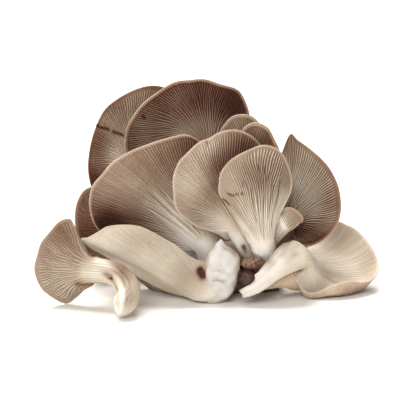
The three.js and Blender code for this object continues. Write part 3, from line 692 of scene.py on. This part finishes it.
class Mushroom:
    """The rows of one mushroom, and facts for the finish at each place."""

    def __init__(self, shape):
        self.shape = DEFAULTS | shape
        self.cap = Cap(self.shape)
        self.line = Line(shape["stem"])
        count = KINDS * round(self.cap.rim.length / GILL_PITCH / KINDS)
        u, crest, self.strength = gill_layout(count, np.random.default_rng(shape["seed"]))
        u = u + sway(u, self.cap)
        self.stem_u, self.gill_u = u[:STEM_ROWS], u[STEM_ROWS:]
        self.stem_crest, self.gill_crest = crest[:STEM_ROWS], crest[STEM_ROWS:]
        self.edge_u = self.gill_u[-1]
        self.columns = len(self.edge_u)
        self.reach = self.cap.length(self.edge_u)
        self.from_rim = (1 - GILL_V[:, None]) * self.cap.length(self.gill_u)
        self.base = self.cap.place(self.gill_u, GILL_V[:, None])
        self.rise = self.gill_rise()
        inside = self.cap.place(self.edge_u, np.array([1 - EDGE_STEP]))
        self.edge_out = unit(self.cap.place(self.edge_u, np.array([1.0])) - inside)

    def gill_rise(self):
        """How far the gills stand up, from 0 at the margin and where the cap is bare."""
        band, bare = self.shape["band"], self.shape["bare"]
        least = 0 if bare else NECK_GILLS
        rise = smoothstep(self.from_rim, band, band + GILL_FADE)
        rise = rise * (least + (1 - least) * smoothstep(GILL_V[:, None], bare, bare + NECK_FADE))
        return rise * np.clip(1 - patched(self.base, self.shape["calm"]), 0, 1)

    def gills(self):
        v = GILL_V[:, None]
        height = np.minimum(self.shape["gill"], GILL_SLOPE * self.cap.length(self.gill_u) + GILL_LEAST)
        out = self.gill_crest * self.strength * self.rise * height
        out = out - marked(self.base, self.shape["marks"], DEPTH)
        inset = 0.5 * EDGE * smoothstep(v, LIP_START, 1)[..., None] * self.edge_out
        return self.base + self.cap.normal(self.gill_u, v) * out[..., None] - inset

    def stem(self):
        """Rings carried along the stem, from the neck down to its torn root."""
        spokes = self.cap.around(self.stem_u)
        rows = []
        before = self.cap.axis
        turn = np.eye(3)
        for row in reversed(range(STEM_ROWS)):
            share = 1 + STEM_V[row]
            *point, radius = self.line.at(share)
            # The change of radius counts in this length, so rings lean less where a stem flares.
            step = self.line.at(min(share + SLOPE_STEP, 1)) - self.line.at(share - SLOPE_STEP)
            along = unit(step)[:3]
            turn = turn_between(before, along) @ turn
            before = along
            ridge = self.stem_crest[row] * self.strength * STEM_RIDGES * self.shape["gill"] * share ** 2
            rows.append(point + spokes[row] @ turn.T * (radius + ridge)[:, None])
        return self.torn(self.dented(np.array(rows[::-1])))

    def dented(self, stem):
        """The marks, pressed into the front of the stem."""
        outwards = unit(stem - stem.mean(axis=1, keepdims=True))
        depth = marked(stem, self.shape["marks"], DEPTH) * (outwards[..., 1] < STEM_BEHIND)
        return stem - outwards * depth[..., None]

    def torn(self, stem):
        """The root made ragged, and closed at its middle."""
        ragged = self.shape["torn"] * lumps(stem[0], TORN_SIZE, self.shape["seed"])[:, None]
        stem[0] = stem[0] + ragged * unit(self.line.points[0, :3] - self.line.points[1, :3])
        return np.concatenate([pole(stem[0]), stem])

    def skin_row(self, v):
        """One row of the cap's back, v of the way from the neck to the margin."""
        cap = self.cap
        where = np.full(self.columns, v)
        free = smoothstep(self.reach, cap.radius, NECK_CLEAR * cap.radius)[:, None]
        outwards = unit(cap.normal(self.edge_u, where) * -free + cap.top * (1 - free))
        full = EDGE + (self.shape["flesh"] - EDGE) * (1 - v)
        thick = np.minimum(full, np.maximum(SHORT_CAP * self.reach, EDGE_LEAST))[:, None]
        inset = 0.5 * EDGE * smoothstep(v, LIP_START, 1) * self.edge_out
        return cap.place(self.edge_u, where) + outwards * thick - inset

    def skin(self):
        """The cap's back, evened out more and more towards the crown."""
        skin = np.array([self.skin_row(v) for v in TOP_V])
        for row in range(1, TOP_ROWS):
            skin[row] = soften(skin[None, row], SKIN_EVEN * row / TOP_ROWS)[0]
        return skin

    def lip(self, under, over):
        """Round the margin, from the last row of the gills to the first row of the back."""
        middle, half = (under + over) / 2, (over - under) / 2
        out = self.edge_out * 0.5 * EDGE
        return np.array([middle - half * math.cos(turn) + out * math.sin(turn) for turn in LIP_TURNS])

    def crown(self, inner):
        top = self.cap.top
        middle = inner.mean(axis=0) + CROWN_RISE * top
        share = CROWN_SHARES[:, None, None]
        return inner * (1 - share) + middle * share + CROWN_SWELL * np.sin(math.pi * share) * top

    def places(self):
        """All rows, from the root of the stem over gills and margin to the middle of the top."""
        gills, skin = self.gills(), self.skin()
        lip = self.lip(gills[-1], skin[0])
        places = np.concatenate([self.stem(), gills, lip, skin, self.crown(skin[-1])])
        on_skin = self.rows_of(np.zeros(UNDER_ROWS + LIP_ROWS), smoothstep(1 - TOP_V, 0, BELLY_START),
                               np.ones(CROWN_ROWS))
        places = pulled(places, self.shape["pulls"], 1)
        places = pulled(places, self.shape["belly"], on_skin[..., None])
        places[..., 2] = np.maximum(places[..., 2], FLOOR_GAP)
        return places

    def rows_of(self, *values):
        """One number for each place, from numbers for whole rows or for places."""
        tall = [np.reshape(value, (-1, 1)) if np.ndim(value) < 2 else value for value in values]
        return np.concatenate([rows + np.zeros(self.columns) for rows in tall])

    def crest(self):
        """How far up a gill each place is."""
        on_stem = self.stem_crest * smoothstep(STEM_V, -0.8, 0)[:, None]
        return self.rows_of(0, on_stem, self.gill_crest * self.rise, np.zeros(OVER_ROWS))

    def plain_band(self):
        """1 on the margin, fading to 0 where the gills start and on the back."""
        band = self.shape["band"]
        return self.rows_of(np.zeros(1 + STEM_ROWS), 1 - smoothstep(self.from_rim, 0.7 * band, band + 1),
                            np.ones(LIP_ROWS),
                            1 - smoothstep((1 - TOP_V[:, None]) * self.reach, *BACK_BAND),
                            np.zeros(CROWN_ROWS))

    def tone(self, places, along, skin, band):
        shape = self.shape
        # Crests lighter and gaps darker: partly the gills' own colour, partly painted shade in the gaps.
        contrast = shape["contrast"] * (STEM_CONTRAST + (1 - STEM_CONTRAST) * smoothstep(along, -0.3, 0.3))
        tone = shape["tone"] + contrast * (self.crest() - CREST_MIDDLE)
        tone = tone + STRENGTH_TONE * (self.strength - np.mean(STRENGTHS)) * (1 - skin)
        tone = tone + max(ROOT_LIGHTER, ROOT_TONE - shape["tone"]) * smoothstep(-along, 0, 0.8)
        tone = tone * (1 - band) + shape["edge_tone"] * band
        # Patches: partly the flesh's own tone, partly painted shade and painted light.
        tone = tone + patched(places, shape["patches"]) * (1 - 0.5 * band) * (1 - skin)
        # Marks: partly their own colour, partly painted shade in creases and painted light on crests.
        return tone + marked(places, self.shape["marks"], CHANGE) * (1 - skin)

    def facts(self, places):
        """What the finish reads at each place."""
        shape = self.shape
        along = self.rows_of(-1, STEM_V, GILL_V, np.ones(LIP_ROWS), TOP_V, TOP_V[-1] * (1 - CROWN_SHARES))
        skin = self.rows_of(np.zeros(UNDER_ROWS), LIP_TURNS / math.pi, np.ones(TOP_ROWS + CROWN_ROWS))
        band = self.plain_band()
        reach = along * np.where(along < 0, self.line.length, self.reach)
        x, y = self.cap.circle(self.edge_u)
        return dict(skin=skin, band=band, tone=self.tone(places, along, skin, band),
                    run=np.stack([x + 0 * reach, y + 0 * reach, reach], axis=-1),
                    hide=shape["hide"] + patched(places, shape["skin_patches"]),
                    flecks=patched(places, shape["flecks"]))


def closed_skin(name, places, facts):
    """One closed piece from rows of places in mm that go round it, the first and last of them
    poles. The first column comes again at the end, and the seam is then joined."""
    rows, columns = places.shape[:2]

    def listed(values):
        return np.concatenate([values, values[:, :1]], axis=1).astype(np.float32).ravel()
    mesh = bpy.data.meshes.new(name)
    shell = bmesh.new()
    bmesh.ops.create_grid(shell, x_segments=columns, y_segments=rows - 1, size=1)
    shell.to_mesh(mesh)
    shell.clear()
    mesh.vertices.foreach_set("co", listed((places + CENTRE) * MM))
    for fact, values in facts.items():
        if values.ndim == 3:
            mesh.attributes.new(fact, "FLOAT_VECTOR", "POINT").data.foreach_set("vector", listed(values))
        else:
            mesh.attributes.new(fact, "FLOAT", "POINT").data.foreach_set("value", listed(values))
    shell.from_mesh(mesh)
    bmesh.ops.remove_doubles(shell, verts=shell.verts, dist=1e-7)
    bmesh.ops.recalc_face_normals(shell, faces=shell.faces)
    shell.to_mesh(mesh)
    shell.free()
    mesh.shade_smooth()
    return link(bpy.data.objects.new(name, mesh))


# ------------ base
BASE_COLUMNS = 180
# The stump that the stems rise from.
STUMP_OUTLINE = [[-4, 7], [-8, 16], [-6, 28], [4, 36], [20, 38], [34, 34], [41, 26], [41, 15], [36, 8],
                 [24, 6], [10, 5]]
STUMP_CENTRE = (18, 21)
STUMP_PROFILE = [(0, 0.93), (6, 1), (14, 0.98), (20, 0.88), (24, 0.6)]  # height, scale
STUMP_TOP = 25.5
STUMP_ROWS = 30
STUMP_TONE = 0.84
# The white torn lobe in front of it: a closed outline at each height.
LOBE_SECTIONS = [
    (0, [[-2, -5], [0, 6], [8, 6], [8, -5], [6, -10.5], [1.5, -13], [-1, -11.5]]),
    (3, [[-3, -5], [0, 8], [11, 7], [11, -6.5], [9, -12.5], [3, -16], [-1, -14.5]]),
    (6.5, [[-3, -5], [0, 10], [13, 8], [13.5, -6.5], [11, -14], [4, -18], [-1.5, -17]]),
    (13, [[-2, -5], [2, 10], [14, 6], [15.5, -7], [12, -14], [4, -18], [-1.5, -16.5]]),
    (20, [[-2, -4], [4, 9], [15, 4], [16.5, -7], [13, -14], [5, -17.5], [-1.5, -14.5]]),
    (26, [[-1, -5], [5, 5], [13, 1], [15.5, -7], [12, -12.5], [5, -15], [-1, -12]]),
    (31, [[2, -6], [5, -1], [8, -3], [10, -7], [8, -10], [5, -12], [2, -9.5]])]
LOBE_FOOT = (2, -4, 0)
LOBE_PEAK = (6, -8, 35.5)
LOBE_TIP = 0.2  # how far its point stands above its last ring
LOBE_ROWS = 90
LOBE_TONE = 0.76
# Flat faces torn on the front of the lobe: a place on each, and the way it faces.
LOBE_FACES = [((2, -16, 21), (-0.4, -0.9, 0.15)), ((10, -15.2, 20), (0.32, -0.93, 0.15)),
              ((4, -15.6, 7), (0.0, -0.95, -0.3))]
FACE_SOFTNESS = 0.15
# Creases pressed into the lobe: points, width, depth.
LOBE_CREASES = [([[4, -13, 34], [4.4, -15, 29], [5.6, -16, 25.5], [7.4, -16.5, 21.8]], 0.6, 1.2),
                ([[-1, -17, 20], [3, -17, 20.2], [7.2, -16.5, 21]], 0.7, 0.7),
                ([[9.5, -15.5, 31], [8.4, -16, 26], [10.5, -16.5, 20]], 1.3, -0.6),
                ([[-2, -17, 14.6], [3.8, -17, 15.2], [8.4, -16.5, 13.8], [12.6, -15, 14.4]], 0.7, 1.1),
                ([[-2, -17, 18], [3, -17, 18.4], [9, -16.5, 17.4]], 1.1, -0.6)]


def outwards_of(places):
    """Square to a skin made of rows of places, away from its inside."""
    round_it = np.roll(places, -1, axis=1) - np.roll(places, 1, axis=1)
    up_it = np.gradient(places, axis=0)
    out = unit(np.cross(round_it, up_it))
    middle = places.mean(axis=(0, 1))
    return out * np.sign(np.mean(dot(out, places - middle)))


def stacked(rings, rows):
    """Rows of places that pass smoothly through rings of equal count."""
    rings = np.array(rings)
    line = Line(rings.reshape(len(rings), -1))
    return line.at(np.linspace(0, 1, rows)).reshape(rows, rings.shape[1], 3)


def outline_ring(outline, height):
    ring = Line([[x, y, height] for x, y in outline], closed=True)
    return ring.at(np.arange(BASE_COLUMNS) / BASE_COLUMNS)


def on_floor(places, low, top):
    """Nothing under the floor, and closed at a lowest and a highest place."""
    places[..., 2] = np.maximum(places[..., 2], 0)
    low, top = (np.broadcast_to(np.array(end, float), (1, BASE_COLUMNS, 3)) for end in (low, top))
    return np.concatenate([low, places, top])


def stump_places():
    cx, cy = STUMP_CENTRE
    rings = []
    for height, scale in STUMP_PROFILE:
        outline = [[cx + (x - cx) * scale, cy + (y - cy) * scale] for x, y in STUMP_OUTLINE]
        rings.append(outline_ring(outline, height))
    stump = stacked(rings, STUMP_ROWS)
    uneven = 0.6 * lumps(stump * (1, 1, 0.25), size=8, seed=21)
    return on_floor(stump + outwards_of(stump) * uneven[..., None], (cx, cy, 0), (cx, cy, STUMP_TOP))


def stump_tone(stump):
    """Painted shade in the hollow at its front, and darker near the floor."""
    x, y, z = np.moveaxis(stump, -1, 0)
    # Painted shade: the front of the stump, in the hollow, is made darker.
    painted_hollow_shade = (1 - smoothstep(y, 8, 26)) * (1 - smoothstep(x, 44, 60))
    foot = 1 - smoothstep(z, 0, 7)
    return STUMP_TONE - 0.5 * painted_hollow_shade + 0.05 * lumps(stump, size=13, seed=41) - 0.12 * foot


def creased(lobe):
    """How deep the creases are at each place."""
    return sum(depth * near(lobe, points, width) for points, width, depth in LOBE_CREASES)


def lobe_places():
    rings = [outline_ring(outline, height) for height, outline in LOBE_SECTIONS]
    x, y, z = LOBE_PEAK
    last = LOBE_SECTIONS[-1][0]
    rings.append(np.array(LOBE_PEAK) + 0.1 * unit(rings[-1] - [x, y, last]))
    lobe = stacked(rings, LOBE_ROWS)
    for point, way in LOBE_FACES:
        way = unit(np.array(way))
        above = (lobe - point) @ way
        lobe = lobe - (0.5 * (above + np.sqrt(above ** 2 + FACE_SOFTNESS)))[..., None] * way
    depth = creased(lobe) - 0.35 * lumps(lobe, size=6, seed=22)
    return on_floor(lobe - outwards_of(lobe) * depth[..., None], LOBE_FOOT, (x, y, z + LOBE_TIP))


def lobe_tone(lobe):
    """Painted light on the right face and the faces that look to the front, painted shade in the creases."""
    right = smoothstep(lobe[..., 0], 4, 11)
    front = smoothstep(-outwards_of(lobe)[..., 1], 0.3, 0.6)
    # Painted light on the right face and front faces, painted shade in the creases.
    tone = LOBE_TONE + 0.07 * right + 0.2 * front - 0.16 * creased(lobe)
    return tone + 0.03 * lumps(lobe, size=5, seed=42)


def lobe_skin(lobe):
    """Where the lobe still has its skin: along its right side."""
    x, _, z = np.moveaxis(lobe, -1, 0)
    return smoothstep(x - 0.12 * (z - 16), 13.4, 15.4)


# ------------ skirt and young caps
# The skin under the torn stem of the lying mushroom: points along its middle, and radius.
SKIRT = [[28, -8, 7.5, 0.6], [32, -7.5, 9, 2.4], [37, -6, 11.5, 4.6], [43, -3, 12, 5.8],
         [48.5, 4, 9, 6.5], [55, 11, 9, 6.5], [61, 16, 12, 3]]
TUBE_ROWS = 40
TUBE_COLUMNS = 72
YOUNG_CAPS = {
    "young_cap_upper": dict(centre=(23.6, -7, 21.5), size=(6.8, 4.5, 3.3), tilt=0.25, tone=0.56,
                            stem=[[23, -6, 20.4, 2.2], [18.5, 0, 18.4, 2.4], [15, 6, 16, 2.6]]),
    "young_cap_lower": dict(centre=(21.2, -8.4, 12.9), size=(5.7, 5.6, 5.1), tilt=0.3, tone=0.16,
                            stem=[[20, -6, 11.6, 2.2], [17, -4, 11.2, 2.4], [14.6, -2.6, 11, 2.4]]),
}
YOUNG_ROWS = 48
YOUNG_COLUMNS = 96
YOUNG_RAYS = 24
YOUNG_STEM_TONE = 0.3


def tube_places(points):
    """A round tube along points given as x, y, z and radius, closed at both ends."""
    middle = Line(points).at(np.linspace(0, 1, TUBE_ROWS))
    along = unit(np.gradient(middle[:, :3], axis=0))
    side = unit(np.cross(along, [0, 0, 1.0]))
    up = np.cross(side, along)
    turn = np.linspace(0, TAU, TUBE_COLUMNS, endpoint=False)[None, :, None]
    spokes = np.cos(turn) * side[:, None] + np.sin(turn) * up[:, None]
    places = middle[:, None, :3] + spokes * middle[:, None, 3:]
    return np.concatenate([pole(places[0]), places, pole(places[-1])])


def young_cap_places(centre, size, tilt):
    """A lumpy, faintly ribbed ball, pressed flat and tipped to the front."""
    down = np.linspace(0, math.pi, YOUNG_ROWS)[:, None]
    across = np.linspace(0, TAU, YOUNG_COLUMNS, endpoint=False)[None]
    ball = np.stack([np.sin(down) * np.cos(across), np.cos(down) + 0 * across,
                     np.sin(down) * np.sin(across)], axis=-1)
    ribs = 0.012 * np.cos(YOUNG_RAYS * across) * np.sin(down) ** 0.5
    uneven = ribs + 0.05 * lumps(ball, size=0.6, seed=31)
    cosine, sine = math.cos(tilt), math.sin(tilt)
    tipped = np.array([[1, 0, 0], [0, cosine, sine], [0, -sine, cosine]])
    return ball * (1 + uneven[..., None]) * size @ tipped + centre


def young_cap_tone(places, shape):
    """Paler towards the crown, in uneven patches."""
    height = (places[..., 2] - shape["centre"][2]) / shape["size"][2]
    return shape["tone"] + 0.26 * height + 0.16 * lumps(places, size=2.5, seed=44)


# ------------ finishes
TONES = [(0.0, (68, 34, 20)), (0.15, (96, 58, 42)), (0.3, (120, 86, 68)), (0.45, (143, 117, 97)),
         (0.6, (166, 145, 125)), (0.75, (188, 172, 152)), (0.88, (209, 197, 180)),
         (1.0, (228, 219, 206)), (1.15, (239, 233, 224)), (1.3, (249, 247, 243))]
WHITE_TONES = [(0.0, (68, 40, 28)), (0.3, (126, 96, 78)), (0.6, (160, 136, 112)),
               (0.74, (180, 163, 142)), (0.86, (192, 184, 174)), (1.0, (212, 206, 198)),
               (1.3, (240, 238, 234))]
BACK_TONES = [(0.0, (112, 92, 78)), (0.5, (150, 128, 110)), (1.0, (214, 190, 164))]
YOUNG_TONES = [(0.0, (38, 19, 12)), (0.5, (86, 54, 40)), (1.0, (172, 136, 112))]
FLOOR_COLOUR = (251, 247, 241)
MARGIN_BLUSH = (255, 243, 236)
FIBRES = (1.6, 1.6, 0.12)  # how fine, across and along the gills
SHORT_FIBRES = (2.2, 2.2, 0.5)
PATCH_SCALE = 60.0
CLOUD_SCALE = 350.0
FLECK_SCALE = 900.0
SLOTS = ("cream_gills", "tan_gills", "brown_gills", "pale_gills", "white_flesh")


def toned(finish, tone, tones):
    """The colours of a list of tones, by how light a place is."""
    lightest = tones[-1][0]
    return finish.ramp(tone * (1 / lightest), [(at / lightest, linear(*colour)) for at, colour in tones])


def gill_finish(slot):
    """Flesh and gills, and the skin of the cap's back where the fact skin is 1."""
    finish = Finish(slot)
    skin = finish.fact("skin")
    band = finish.fact("band")
    run = finish.fact("run", "Vector")
    fibres = finish.noise(finish.stretch(run, FIBRES), 1.0)
    short_fibres = finish.noise(finish.stretch(run, SHORT_FIBRES), 1.0)
    patches = finish.noise(finish.place(), PATCH_SCALE)
    tone = finish.fact("tone") + 0.3 * (patches - 0.5) + 0.15 * (fibres - 0.5)
    tone = tone - finish.fact("flecks") * finish.limit(6 * (short_fibres - 0.58))
    gills = toned(finish, tone, WHITE_TONES if slot == "white_flesh" else TONES)
    blushed = finish.mix(band * 0.4, gills, linear(*MARGIN_BLUSH), "MULTIPLY")
    back_tone = finish.fact("hide") + 0.5 * (fibres - 0.5) + 0.9 * (patches - 0.5) + 0.45 * band
    colour = finish.mix(skin, blushed, toned(finish, finish.limit(back_tone), BACK_TONES))
    return finish.give(Base_Color=colour, Roughness=0.75 - 0.2 * skin,
                       Normal=finish.bump(fibres, 0.0003), Specular_IOR_Level=0.3)


def young_cap_finish():
    finish = Finish("dark_cap_skin")
    cloud = finish.noise(finish.place(), CLOUD_SCALE)
    flecks = finish.noise(finish.place(), FLECK_SCALE)
    tone = finish.limit(finish.fact("tone") + 0.5 * (cloud - 0.5) + 0.35 * (flecks - 0.5))
    return finish.give(Base_Color=toned(finish, tone, YOUNG_TONES), Roughness=0.45,
                       Normal=finish.bump(cloud, 0.0004))


# ------------ the whole cluster
def add_floor():
    mesh = bpy.data.meshes.new("floor")
    sheet = bmesh.new()
    bmesh.ops.create_grid(sheet, x_segments=4, y_segments=4, size=4)
    sheet.to_mesh(mesh)
    sheet.free()
    floor = link(bpy.data.objects.new("floor", mesh))
    finish = Finish("floor")
    mesh.materials.append(finish.give(Base_Color=linear(*FLOOR_COLOUR), Roughness=0.9))


def add_part(name, node, slot, finish, places, **facts):
    """One piece. The ear has no solid of its own, so it replaces nothing."""
    piece = closed_skin(name, places, facts)
    piece.data.materials.append(finish)
    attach(piece, "root")
    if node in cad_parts:
        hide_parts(node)


def everywhere(places, value):
    return np.full(places.shape[:2], value)


def add_mushrooms(finishes):
    for name, shape in MUSHROOMS.items():
        mushroom = Mushroom(shape)
        places = mushroom.places()
        slot = shape["slot"]
        add_part(name + "_fine", name, slot, finishes[slot], places, **mushroom.facts(places))


def add_base(finish):
    stump, lobe = stump_places(), lobe_places()
    parts = [("stem_base_stump", stump, stump_tone(stump), everywhere(stump, 0.0)),
             ("stem_base_lobe", lobe, lobe_tone(lobe), lobe_skin(lobe))]
    for name, places, tone, skin in parts:
        add_part(name, "stem_base", "white_flesh", finish, places, tone=tone, run=places, skin=skin,
                 hide=everywhere(places, 0.95))


def add_skirt(finish):
    skirt = tube_places(SKIRT)
    add_part("mushroom_lying_right_skirt", "mushroom_lying_right", "pale_gills", finish, skirt,
             skin=everywhere(skirt, 1.0), hide=everywhere(skirt, 0.75), run=skirt)


def add_young_caps(finish):
    for name, shape in YOUNG_CAPS.items():
        cap = young_cap_places(shape["centre"], shape["size"], shape["tilt"])
        add_part(name + "_fine", name, "dark_cap_skin", finish, cap, tone=young_cap_tone(cap, shape))
        stem = tube_places(shape["stem"])
        add_part(name + "_stem", name, "dark_cap_skin", finish, stem,
                 tone=everywhere(stem, YOUNG_STEM_TONE))


add_camera()
add_sky()
add_overhead_light()
add_front_light()
add_floor()

gill_finishes = {slot: gill_finish(slot) for slot in SLOTS}
add_mushrooms(gill_finishes)
add_base(gill_finishes["white_flesh"])
add_skirt(gill_finishes["pale_gills"])
add_young_caps(young_cap_finish())
